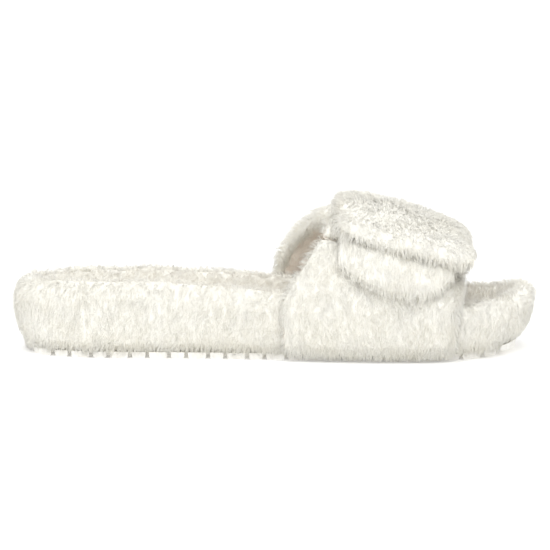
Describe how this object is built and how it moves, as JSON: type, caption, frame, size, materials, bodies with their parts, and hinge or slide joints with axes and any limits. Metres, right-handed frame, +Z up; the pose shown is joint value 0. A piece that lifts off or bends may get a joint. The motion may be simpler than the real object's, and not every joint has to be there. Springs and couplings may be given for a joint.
{
  "type": "slide slipper",
  "caption": "Open-toe fluffy slide slipper with a raised fur-covered sole, a notched rubber tread and a two-part band closed by a padded hook-and-loop strap.",
  "frame": {"origin": "On the ground plane, below the middle of the slipper's bounding box.", "axes": "+X points to the toe, +Z up, and -Y to the outer side of the foot (a right slipper)."},
  "size_m": [0.266, 0.1142, 0.0805],
  "materials": {
    "fur": "cream-white faux fur pile",
    "lining": "short brushed knit, warm ivory",
    "rubber": "matt off-white moulded rubber",
    "foam": "closed-cell foam",
    "fibre": "loose polyester filling",
    "board": "pressed cellulose board",
    "loop": "brushed loop fastener tape",
    "hook": "moulded hook fastener tape",
    "thread": "twisted polyester thread"
  },
  "bodies": {
    "slipper": {"outsole": "rubber", "midsole": "foam", "insole_board": "board", "footbed_foam": "foam", "footbed_cover": "fur", "side_wrap": "fur", "outer_band_lining": "lining", "outer_band_padding": "foam", "outer_band_cover": "fur", "inner_band_lining": "lining", "inner_band_padding": "foam", "inner_band_cover": "fur", "loop_tape": "loop", "strap_root": "fur", "strap_root_stitches": "thread"},
    "strap": {"strap_backing": "lining", "strap_padding": "foam", "strap_cover": "fur", "hook_tape": "hook", "puff_lower_panel": "fur", "puff_filling": "fibre", "puff_upper_panel": "fur"}
  },
  "joints": [
    {"name": "strap_fold", "type": "hinge", "parent": "slipper", "child": "strap", "pos_m": [0.0614, 0.0515, 0.0422], "axis": [-0.9903, -0.0828, 0.112], "range_deg": [0, 110]}
  ]
}
